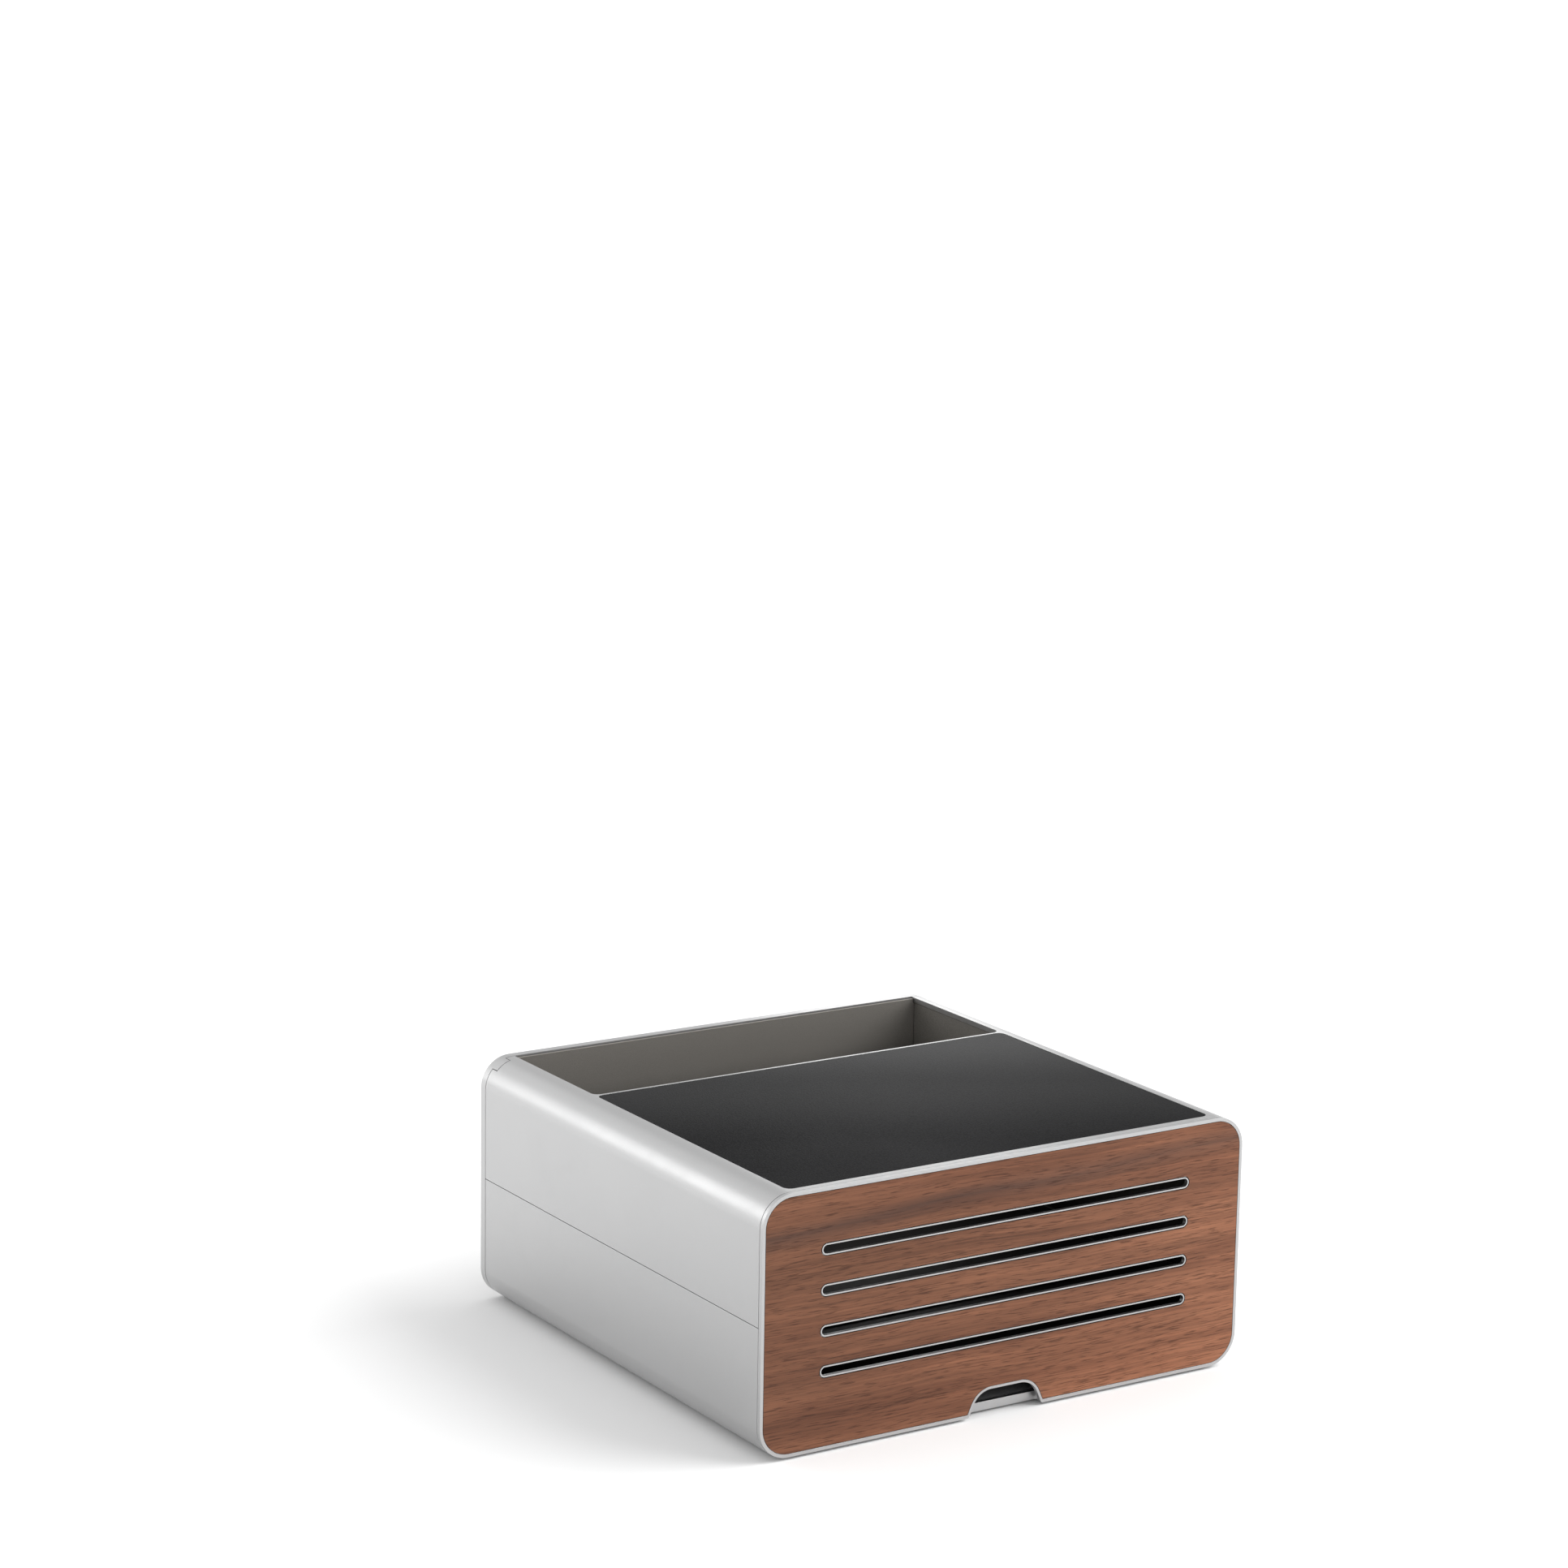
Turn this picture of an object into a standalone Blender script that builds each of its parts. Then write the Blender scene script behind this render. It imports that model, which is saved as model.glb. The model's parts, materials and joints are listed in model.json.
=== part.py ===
"""Monitor riser stand: two aluminium half shells, a magnetic walnut front and a steel shelf.

Metres, +Z up, +Y towards the back. The origin is on the table, under the middle of the riser.
The display's foot stands on the shelf inside, and its neck rises through the well behind the mat.
"""
import math

import bmesh
import bpy
from mathutils import Matrix

# Driving dimensions of the closed body
WIDTH = 0.250
DEPTH = 0.2435
HEIGHT = 0.116
FOOT_HEIGHT = 0.0012
CORNER_RADIUS = 0.0143
WALL = 0.0024
GAP = 0.0003
SEAM_HEIGHT = 0.0594
FRONT_THICKNESS = 0.0021
BACK_THICKNESS = 0.0042

# Walnut front: metal rim, inlay, ventilation slots and finger notch
RIM = 0.0015
INLAY_GAP = 0.0002
INLAY_DEPTH = 0.0013
SLOT_COUNT = 4
SLOT_LENGTH = 0.1902
SLOT_HEIGHT = 0.0038
SLOT_PITCH = 0.0178
SLOT_LOWEST = 0.0357
SLOT_LIP = 0.0006
SLOT_GAP = 0.0004
NOTCH_HEIGHT = 0.0113
NOTCH_FLAT = 0.0077
NOTCH_RADIUS = 0.0100
NOTCH_SLOPE = 24.0
NOTCH_LIP = 0.0011
NOTCH_TOE = 0.0010
RELIEF_HALF = 0.0216
RELIEF_DEPTH = 0.0052
RELIEF_CORNER = 0.0030
RELIEF_LIP = 0.0015

# Top: mat recess, then the open well for the display's neck
OPENING_HALF = 0.110
STRIP_FRONT = 0.0055
MAT_LENGTH = 0.1583
MAT_RECESS = 0.0014
MAT_THICKNESS = 0.0010
MAT_RIM = 0.0012
OPENING_RADIUS = 0.0035
TAB_LENGTH = 0.0039
TAB_ANGLES = (43.0, 74.0)

# Steel rails, brace, liner and the shelf with its pegs
RAIL_THICKNESS = 0.0016
RAIL_FLANGE = 0.0092
SOLE_WIDTH = 0.012
SHEET = 0.0012
BRACE_WIDTH = 0.0140
BRACE_HEIGHT = 0.0060
SHELF_THICKNESS = 0.0020
SHELF_RAIL = 0.0060
SHELF_LIP = 0.0080
SHELF_HALF = 0.1085
SHELF_LENGTH = 0.2180
CABLE_NOTCH_DEPTH = 0.0200
PEG_RADIUS = 0.0030
PEG_LENGTH = 0.0140
PEG_CHAMFER = 0.0005
PEG_REACH = 0.0051
PEG_COLUMN = 0.080
LEVEL_COUNT = 4
LEVEL_PITCH = 0.0180
LEVEL_LOWEST = 0.0320
GRIP_SIZE = (0.150, 0.018, 0.0010)
GRIP_OFFSET = 0.070
GRIP_CORNER = 0.004

# Small parts
MAGNET_RADIUS = 0.0042
MAGNET_LENGTH = 0.0030
DISC_THICKNESS = 0.0012
MAGNET_HEIGHTS = (0.022, 0.095)
FOOT_RADIUS = 0.0090
FOOT_SINK = 0.0008
FOOT_EDGE = 0.0005
FOOT_PLACE = (0.100, 0.098)
SCREW_RADIUS = 0.0015
SCREW_HEAD = 0.0029
SCREW_RIM = 0.0002
SCREW_TIP = 0.0004
SOCKET_RADIUS = 0.0010
SOCKET_DEPTH = 0.0012
BASE_SCREW_LENGTH = 0.0060
BACK_SCREW_LENGTH = 0.0085
SCREW_HOLE_DEPTH = 0.0095
BASE_SCREW_ROW = 0.075
BACK_SCREW_HEIGHTS = (0.021, 0.096)
PORT_HALF = 0.030
PORT_BOTTOM = 0.012
PORT_TOP = 0.036
PORT_RADIUS = 0.006
GROMMET_WALL = 0.0016
SPLICE_HEIGHT = 0.020
SPLICE_THICKNESS = 0.0020
SPLICE_LENGTH = 0.200
PAD_THICKNESS = 0.0015

CORNER_STEPS = 12
SMALL_STEPS = 6
SIDES = {"left": -1, "right": 1}
ENDS = {"front": -1, "back": 1}

# Places worked out from the dimensions above
FRONT = -DEPTH / 2
BACK = DEPTH / 2
BOTTOM = FOOT_HEIGHT
SHELL_FRONT = FRONT + FRONT_THICKNESS + GAP
SHELL_BACK = BACK - BACK_THICKNESS - GAP
FLOOR_TOP = BOTTOM + WALL
CEILING = HEIGHT - WALL
SIDE_INNER = WIDTH / 2 - WALL
CORNER_X = WIDTH / 2 - CORNER_RADIUS
CORNER_Z = HEIGHT - CORNER_RADIUS
MAT_FRONT = FRONT + STRIP_FRONT
MAT_BACK = MAT_FRONT + MAT_LENGTH
WELL_FRONT = MAT_BACK + MAT_RIM
RAIL_INNER = OPENING_HALF + 2 * GAP
RAIL_BOTTOM = FLOOR_TOP + GAP
RAIL_TOP = CEILING - GAP
DISC_FRONT = FRONT + FRONT_THICKNESS + GAP
MAGNET_FRONT = DISC_FRONT + DISC_THICKNESS + GAP
RAIL_FRONT = MAGNET_FRONT + MAGNET_LENGTH + GAP
RAIL_BACK = SHELL_BACK - GAP
LINER_BACK = RAIL_BACK - GAP
LINER_TOP = HEIGHT - 2 * GAP
SHELF_BOTTOM = LEVEL_LOWEST + PEG_RADIUS + GAP
SHELF_TOP = SHELF_BOTTOM + SHELF_THICKNESS
SHELF_FRONT = -SHELF_LENGTH / 2
FASTENER_X = RAIL_INNER + RAIL_THICKNESS + RAIL_FLANGE / 2
SOLE_X = RAIL_INNER - SOLE_WIDTH / 2

MATERIALS = {
    "aluminium": ((0.72, 0.72, 0.73), 0.38, 1.0),
    "walnut": ((0.24, 0.11, 0.065), 0.55, 0.0),
    "leatherette": ((0.035, 0.035, 0.036), 0.60, 0.0),
    "dark_steel": ((0.075, 0.068, 0.060), 0.55, 0.0),
    "rubber": ((0.020, 0.020, 0.021), 0.80, 0.0),
    "felt": ((0.018, 0.018, 0.019), 0.95, 0.0),
    "zinc_steel": ((0.55, 0.55, 0.56), 0.35, 1.0),
    "nickel": ((0.68, 0.67, 0.64), 0.25, 1.0),
}


def make_material(name):
    """A Principled material from its colour, roughness and metallic value."""
    colour, roughness, metallic = MATERIALS[name]
    material = bpy.data.materials.get(name) or bpy.data.materials.new(name)
    material.use_nodes = True
    shader = material.node_tree.nodes["Principled BSDF"]
    shader.inputs["Base Color"].default_value = (*colour, 1.0)
    shader.inputs["Roughness"].default_value = roughness
    shader.inputs["Metallic"].default_value = metallic
    return material


def make_collection(name):
    """A collection linked to the scene."""
    collection = bpy.data.collections.new(name)
    bpy.context.scene.collection.children.link(collection)
    return collection


def clear_scene():
    """Remove whatever objects the file starts with."""
    for thing in list(bpy.data.objects):
        bpy.data.objects.remove(thing, do_unlink=True)


def arc(centre, radius, start, end, steps):
    """Points along an arc, from start to end in degrees, both included."""
    angles = [math.radians(start + (end - start) * i / steps) for i in range(steps + 1)]
    return [(centre[0] + radius * math.cos(a), centre[1] + radius * math.sin(a)) for a in angles]


def rounded_rectangle(low, high, radius, steps=SMALL_STEPS):
    """A closed outline with four round corners, counter-clockwise."""
    (x0, y0), (x1, y1) = low, high
    points = arc((x1 - radius, y0 + radius), radius, -90, 0, steps)
    points += arc((x1 - radius, y1 - radius), radius, 0, 90, steps)
    points += arc((x0 + radius, y1 - radius), radius, 90, 180, steps)
    points += arc((x0 + radius, y0 + radius), radius, 180, 270, steps)
    return points


def body_outline(inset=0.0):
    """The body's outer outline seen from the front, drawn in by an inset."""
    low = (-WIDTH / 2 + inset, BOTTOM + inset)
    high = (WIDTH / 2 - inset, HEIGHT - inset)
    return rounded_rectangle(low, high, CORNER_RADIUS - inset, CORNER_STEPS)


def notched_outline(rim=0.0, lip=0.0):
    """The front's outline with the finger notch let in; rim and lip draw its two edges in."""
    radius = NOTCH_RADIUS + lip
    base = BOTTOM + rim
    centre_z = BOTTOM + NOTCH_HEIGHT - NOTCH_RADIUS
    slope = math.radians(NOTCH_SLOPE)
    corner = NOTCH_FLAT + radius / math.cos(slope) + (centre_z - base) * math.tan(slope)
    right = arc((NOTCH_FLAT, centre_z), radius, 90, NOTCH_SLOPE, CORNER_STEPS)
    toe = NOTCH_TOE - lip
    if toe > 0:
        start = corner + toe * math.tan((math.pi / 2 - slope) / 2)
        right += arc((start, base + toe), toe, 180 + NOTCH_SLOPE, 270, SMALL_STEPS)
    else:
        right += [(corner, base)]
    left = [(-x, z) for x, z in reversed(right)]
    return left + right + body_outline(rim)


def slot_outline(index, grow=0.0):
    """One ventilation slot: a long shape with round ends."""
    height = SLOT_LOWEST + index * SLOT_PITCH
    radius = SLOT_HEIGHT / 2 + grow
    reach = SLOT_LENGTH / 2 - SLOT_HEIGHT / 2
    points = arc((reach, height), radius, -90, 90, 2 * SMALL_STEPS)
    points += arc((-reach, height), radius, 90, 270, 2 * SMALL_STEPS)
    return points


def slot_outlines(grow=0.0):
    """Every ventilation slot's outline."""
    return [slot_outline(index, grow) for index in range(SLOT_COUNT)]


def port_outline(grow=0.0):
    """The cable port in the back."""
    low = (-PORT_HALF - grow, PORT_BOTTOM - grow)
    high = (PORT_HALF + grow, PORT_TOP + grow)
    return rounded_rectangle(low, high, PORT_RADIUS + grow)


def channel_outline(open_z, closed_z):
    """Half of the body's wall as a U: straight sides, round corners and a flat web."""
    turn = 1 if closed_z < open_z else -1
    centre_z = closed_z + turn * CORNER_RADIUS
    inner = CORNER_RADIUS - WALL
    points = [(-WIDTH / 2, open_z)]
    points += arc((-CORNER_X, centre_z), CORNER_RADIUS, 180, 180 + turn * 90, CORNER_STEPS)
    points += arc((CORNER_X, centre_z), CORNER_RADIUS, -turn * 90, 0, CORNER_STEPS)
    points += [(WIDTH / 2, open_z), (SIDE_INNER, open_z)]
    points += arc((CORNER_X, centre_z), inner, 0, -turn * 90, CORNER_STEPS)
    points += arc((-CORNER_X, centre_z), inner, 180 + turn * 90, 180, CORNER_STEPS)
    points += [(-SIDE_INNER, open_z)]
    return points


def add_object(name, mesh, collection, material=None):
    """Put a mesh in the scene as a named object."""
    thing = bpy.data.objects.new(name, mesh)
    collection.objects.link(thing)
    if material:
        mesh.materials.clear()
        mesh.materials.append(make_material(material))
    return thing


def mesh_from_curve(curve_object, collection, name, material):
    """Turn a filled curve into a closed mesh object and remove the curve."""
    depsgraph = bpy.context.evaluated_depsgraph_get()
    mesh = bpy.data.meshes.new_from_object(curve_object.evaluated_get(depsgraph))
    matrix = curve_object.matrix_world.copy()
    curve = curve_object.data
    bpy.data.objects.remove(curve_object, do_unlink=True)
    bpy.data.curves.remove(curve)
    welded = bmesh.new()
    welded.from_mesh(mesh)
    bmesh.ops.remove_doubles(welded, verts=welded.verts, dist=0.00001)
    bmesh.ops.recalc_face_normals(welded, faces=welded.faces)
    welded.to_mesh(mesh)
    welded.free()
    mesh.name = name
    thing = add_object(name, mesh, collection, material)
    thing.matrix_world = matrix
    return thing


# How a flat outline is turned so that its thickness runs along the named axis
TURNS = {
    "X": Matrix(((0, 0, 1, 0), (1, 0, 0, 0), (0, 1, 0, 0), (0, 0, 0, 1))),
    "Y": Matrix(((1, 0, 0, 0), (0, 0, -1, 0), (0, 1, 0, 0), (0, 0, 0, 1))),
    "Z": Matrix.Identity(4),
}


def extruded(name, outlines, axis, start, end, collection, material=None):
    """A flat outline, with any holes, given its thickness from start to end along an axis."""
    curve = bpy.data.curves.new(name, "CURVE")
    curve.dimensions = "2D"
    curve.fill_mode = "BOTH"
    curve.extrude = (end - start) / 2
    for outline in outlines:
        spline = curve.splines.new("POLY")
        spline.points.add(len(outline) - 1)
        for point, (u, v) in zip(spline.points, outline):
            point.co = (u, v, 0.0, 1.0)
        spline.use_cyclic_u = True
    flat = bpy.data.objects.new(name + "_outline", curve)
    collection.objects.link(flat)
    middle = Matrix.Translation([(start + end) / 2 * (letter == axis) for letter in "XYZ"])
    flat.matrix_world = middle @ TURNS[axis]
    bpy.context.view_layer.update()
    return mesh_from_curve(flat, collection, name, material)


def box(name, low, high, collection, material=None):
    """A plain block between two corners, with its origin at its middle."""
    size = [b - a for a, b in zip(low, high)]
    shape = bmesh.new()
    bmesh.ops.create_cube(shape, size=1.0)
    bmesh.ops.scale(shape, vec=size, verts=shape.verts)
    mesh = bpy.data.meshes.new(name)
    shape.to_mesh(mesh)
    shape.free()
    thing = add_object(name, mesh, collection, material)
    thing.location = [(a + b) / 2 for a, b in zip(low, high)]
    return thing


def cylinder(name, radius, start, end, centre, axis, collection, material=None, sides=24):
    """A cylinder from start to end along an axis; centre holds its two other coordinates."""
    shape = bmesh.new()
    bmesh.ops.create_cone(shape, cap_ends=True, segments=sides, radius1=radius, radius2=radius,
                          depth=end - start)
    mesh = bpy.data.meshes.new(name)
    shape.to_mesh(mesh)
    shape.free()
    thing = add_object(name, mesh, collection, material)
    place = dict(zip([letter for letter in "XYZ" if letter != axis], centre))
    place[axis] = (start + end) / 2
    turn = {"X": (0, math.pi / 2, 0), "Y": (math.pi / 2, 0, 0), "Z": (0, 0, 0)}
    thing.rotation_euler = turn[axis]
    thing.location = [place[letter] for letter in "XYZ"]
    return thing


def turned(name, profile, collection, material, steps=20):
    """A turned piece: a profile from the top of the axis, down its outer side, to the bottom."""
    mesh = bpy.data.meshes.new(name)
    edges = [(i, i + 1) for i in range(len(profile) - 1)]
    mesh.from_pydata([(r, 0.0, z) for r, z in profile], edges, [])
    thing = add_object(name, mesh, collection, material)
    screw = thing.modifiers.new("Turn", "SCREW")
    screw.steps = steps
    screw.render_steps = steps
    screw.use_merge_vertices = True
    screw.merge_threshold = 0.00001
    screw.use_smooth_shade = True
    return thing


def boolean(thing, tool, operation="DIFFERENCE"):
    """Cut a tool out of an object or join it on, and hide the tool."""
    step = thing.modifiers.new(tool.name, "BOOLEAN")
    step.operation = operation
    step.solver = "EXACT"
    step.object = tool
    tool.hide_render = True
    tool.display_type = "WIRE"


def shade(thing, angle=35.0):
    """Smooth shading that keeps the sharp edges sharp."""
    thing.data.shade_smooth()
    thing.data.set_sharp_from_angle(angle=math.radians(angle))


def parent_to(pieces, name, location, collection):
    """Hang pieces on an empty that marks where they move."""
    empty = bpy.data.objects.new(name, None)
    collection.objects.link(empty)
    empty.location = location
    bpy.context.view_layer.update()
    for piece in pieces:
        world = piece.matrix_world.copy()
        piece.parent = empty
        piece.matrix_parent_inverse = Matrix.Translation(location).inverted()
        piece.matrix_world = world


def make_front(parts, cutters):
    """The aluminium front plate, pocketed for the walnut, and the walnut itself."""
    face = [notched_outline()] + slot_outlines()
    plate = extruded("front_plate", face, "Y", FRONT, FRONT + FRONT_THICKNESS, parts, "aluminium")
    pocket_edge = [notched_outline(RIM, NOTCH_LIP)] + slot_outlines(SLOT_LIP)
    pocket = extruded("inlay_pocket", pocket_edge, "Y", FRONT - WALL, FRONT + INLAY_DEPTH, cutters)
    boolean(plate, pocket)
    wood_edge = [notched_outline(RIM + INLAY_GAP, NOTCH_LIP + INLAY_GAP)]
    wood_edge += slot_outlines(SLOT_LIP + SLOT_GAP)
    wood_back = FRONT + INLAY_DEPTH - GAP
    wood = extruded("walnut_inlay", wood_edge, "Y", FRONT, wood_back, parts, "walnut")
    for piece in (plate, wood):
        shade(piece)
    return [plate, wood]


def make_lower_shell(parts, cutters):
    """The lower half shell, with seats for the feet and screws and a lipped relief behind
    the notch."""
    outline = channel_outline(SEAM_HEIGHT - GAP / 2, BOTTOM)
    shell = extruded("lower_shell", [outline], "Y", SHELL_FRONT, SHELL_BACK, parts, "aluminium")
    relief_edge = rounded_rectangle((-RELIEF_HALF, FRONT - RELIEF_DEPTH),
                                    (RELIEF_HALF, FRONT + RELIEF_DEPTH), RELIEF_CORNER)
    lip_half = RELIEF_HALF + WALL
    lip = box("relief_lip", (-lip_half, SHELL_FRONT, FLOOR_TOP - WALL / 2),
              (lip_half, FRONT + RELIEF_DEPTH + WALL - GAP, FLOOR_TOP + RELIEF_LIP), cutters)
    boolean(shell, lip, "UNION")
    relief = extruded("finger_relief", [relief_edge], "Z", 0.0, FLOOR_TOP + WALL, cutters)
    boolean(shell, relief)
    for side, x_sign in SIDES.items():
        for end, y_sign in ENDS.items():
            place = (x_sign * FOOT_PLACE[0], y_sign * FOOT_PLACE[1])
            seat = cylinder(f"foot_seat_{end}_{side}", FOOT_RADIUS + GAP, 0.0, BOTTOM + FOOT_SINK,
                            place, "Z", cutters, sides=32)
            boolean(shell, seat)
            boolean(shell, base_screw_hole(f"{end}_{side}", x_sign, y_sign, cutters))
    shade(shell)


def base_screw_hole(label, x_sign, y_sign, cutters):
    """The countersunk hole under one rail screw."""
    hole = turned(f"base_hole_{label}", screw_profile(GAP), cutters, None, steps=12)
    hole.rotation_euler = (math.pi, 0, 0)
    hole.location = (x_sign * SOLE_X, y_sign * BASE_SCREW_ROW, BOTTOM + GAP)
    return hole


def make_upper_shell(parts, cutters):
    """The upper half shell: mat recess in front, open well behind, and two tab notches."""
    outline = channel_outline(SEAM_HEIGHT + GAP / 2, HEIGHT)
    shell = extruded("upper_shell", [outline], "Y", SHELL_FRONT, SHELL_BACK, parts, "aluminium")
    recess_edge = rounded_rectangle((-OPENING_HALF, MAT_FRONT), (OPENING_HALF, MAT_BACK),
                                    OPENING_RADIUS)
    recess = extruded("mat_recess", [recess_edge], "Z", HEIGHT - MAT_RECESS, HEIGHT + WALL, cutters)
    past_back = BACK + OPENING_RADIUS
    well_edge = rounded_rectangle((-OPENING_HALF, WELL_FRONT), (OPENING_HALF, past_back),
                                  OPENING_RADIUS)
    well = extruded("well_opening", [well_edge], "Z", CEILING - WALL, HEIGHT + WALL, cutters)
    boolean(shell, recess)
    boolean(shell, well)
    for side, sign in SIDES.items():
        notch = tab_block(f"tab_notch_{side}", sign, GAP, cutters)
        boolean(shell, notch)
    shade(shell)


def tab_block(name, sign, grow, collection):
    """A curved block in the shell's shoulder, reaching forward from the back plate."""
    centre = (CORNER_X, CORNER_Z)
    spread = math.degrees(grow / CORNER_RADIUS)
    start, end = TAB_ANGLES[0] - spread, TAB_ANGLES[1] + spread
    outer = CORNER_RADIUS + (WALL if grow else 0.0)
    inner = CORNER_RADIUS - WALL - (WALL if grow else 0.0)
    outline = arc(centre, outer, start, end, SMALL_STEPS)
    outline += arc(centre, inner, end, start, SMALL_STEPS)
    if sign < 0:
        outline = [(-x, z) for x, z in reversed(outline)]
    front = SHELL_BACK - TAB_LENGTH - grow
    return extruded(name, [outline], "Y", front, SHELL_BACK + GAP + WALL, collection)


def make_back_plate(parts, cutters):
    """The back plate with its cable port, screw holes and the two shoulder tabs."""
    plate = extruded("back_plate", [body_outline(), port_outline()], "Y",
                     SHELL_BACK + GAP, BACK, parts, "aluminium")
    for side, sign in SIDES.items():
        boolean(plate, tab_block(f"shoulder_tab_{side}", sign, 0.0, cutters), "UNION")
        for level, height in enumerate(BACK_SCREW_HEIGHTS):
            hole = turned(f"back_hole_{side}_{level}", screw_profile(GAP), cutters, None, steps=12)
            hole.rotation_euler = (-math.pi / 2, 0, 0)
            hole.location = (sign * FASTENER_X, BACK - GAP, height)
            boolean(plate, hole)
    shade(plate)


def make_grommet(parts):
    """The rubber ring that lines the cable port."""
    ring = [port_outline(-GAP), port_outline(-GAP - GROMMET_WALL)]
    grommet = extruded("cable_grommet", ring, "Y", SHELL_BACK + GAP, BACK, parts, "rubber")
    shade(grommet)


def make_liner(parts):
    """The dark steel sheet behind the well, cut out round the cable port and narrower where it
    rises into the well opening."""
    half = RAIL_INNER - GAP
    bottom = RAIL_BOTTOM + RAIL_THICKNESS + GAP
    neck = OPENING_HALF - GAP
    edge = [(-half, bottom), (half, bottom), (half, RAIL_TOP), (neck, RAIL_TOP),
            (neck, LINER_TOP), (-neck, LINER_TOP), (-neck, RAIL_TOP), (-half, RAIL_TOP)]
    extruded("back_liner", [edge, port_outline(SHEET)], "Y", LINER_BACK - SHEET, LINER_BACK,
             parts, "dark_steel")


def make_rail(side, sign, parts, cutters):
    """One bent steel side rail, with two columns of peg holes."""
    inner = RAIL_INNER
    outer = inner + RAIL_THICKNESS
    reach = outer + RAIL_FLANGE
    bend = [
        (reach, RAIL_FRONT), (reach, RAIL_FRONT + RAIL_THICKNESS),
        (outer, RAIL_FRONT + RAIL_THICKNESS), (outer, RAIL_BACK - RAIL_THICKNESS),
        (reach, RAIL_BACK - RAIL_THICKNESS), (reach, RAIL_BACK),
        (inner, RAIL_BACK), (inner, RAIL_FRONT),
    ]
    bend = [(sign * x, y) for x, y in bend]
    flanges = extruded(f"rail_{side}", [bend], "Z", BOTTOM + CORNER_RADIUS, CORNER_Z, parts,
                       "dark_steel")
    web_x = sorted((sign * inner, sign * outer))
    web = box(f"rail_web_{side}", (web_x[0], RAIL_FRONT, RAIL_BOTTOM),
              (web_x[1], RAIL_BACK, RAIL_TOP), cutters)
    boolean(flanges, web, "UNION")
    sole_x = sorted((sign * outer, sign * (inner - SOLE_WIDTH)))
    sole = box(f"rail_sole_{side}", (sole_x[0], RAIL_FRONT, RAIL_BOTTOM),
               (sole_x[1], RAIL_BACK, RAIL_BOTTOM + RAIL_THICKNESS), cutters)
    boolean(flanges, sole, "UNION")
    hole_x = sorted((sign * (inner - WALL), sign * (outer + WALL)))
    for end, y_sign in ENDS.items():
        for level in range(LEVEL_COUNT):
            place = (y_sign * PEG_COLUMN, LEVEL_LOWEST + level * LEVEL_PITCH)
            hole = cylinder(f"peg_hole_{side}_{end}_{level}", PEG_RADIUS + GAP, *hole_x, place,
                            "X", cutters, sides=12)
            boolean(flanges, hole)
        boolean(flanges, cylinder(f"sole_hole_{side}_{end}", SCREW_RADIUS + GAP, 0.0,
                                  RAIL_BOTTOM + WALL,
                                  (sign * SOLE_X, y_sign * BASE_SCREW_ROW), "Z", cutters,
                                  sides=12))
    for level, height in enumerate(BACK_SCREW_HEIGHTS):
        boolean(flanges, cylinder(f"flange_hole_{side}_{level}", SCREW_RADIUS + GAP,
                                  RAIL_BACK - WALL, RAIL_BACK + WALL,
                                  (sign * FASTENER_X, height), "Y", cutters, sides=12))


def make_brace(parts):
    """The channel under the rear edge of the mat recess, from rail to rail."""
    back = WELL_FRONT - GAP
    front = back - BRACE_WIDTH
    top = CEILING - GAP
    bottom = top - BRACE_HEIGHT
    section = [
        (front, bottom), (front + SHEET, bottom), (front + SHEET, top - SHEET),
        (back - SHEET, top - SHEET), (back - SHEET, bottom), (back, bottom),
        (back, top), (front, top),
    ]
    half = RAIL_INNER - GAP
    extruded("top_brace", [section], "X", -half, half, parts, "dark_steel")


def make_splice(side, sign, parts):
    """The strip bonded inside one side wall, across the seam of the two shells."""
    xs = sorted((sign * (SIDE_INNER - GAP - SPLICE_THICKNESS), sign * (SIDE_INNER - GAP)))
    half = SPLICE_LENGTH / 2
    box(f"splice_{side}", (xs[0], -half, SEAM_HEIGHT - SPLICE_HEIGHT / 2),
        (xs[1], half, SEAM_HEIGHT + SPLICE_HEIGHT / 2), parts, "aluminium")


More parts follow.
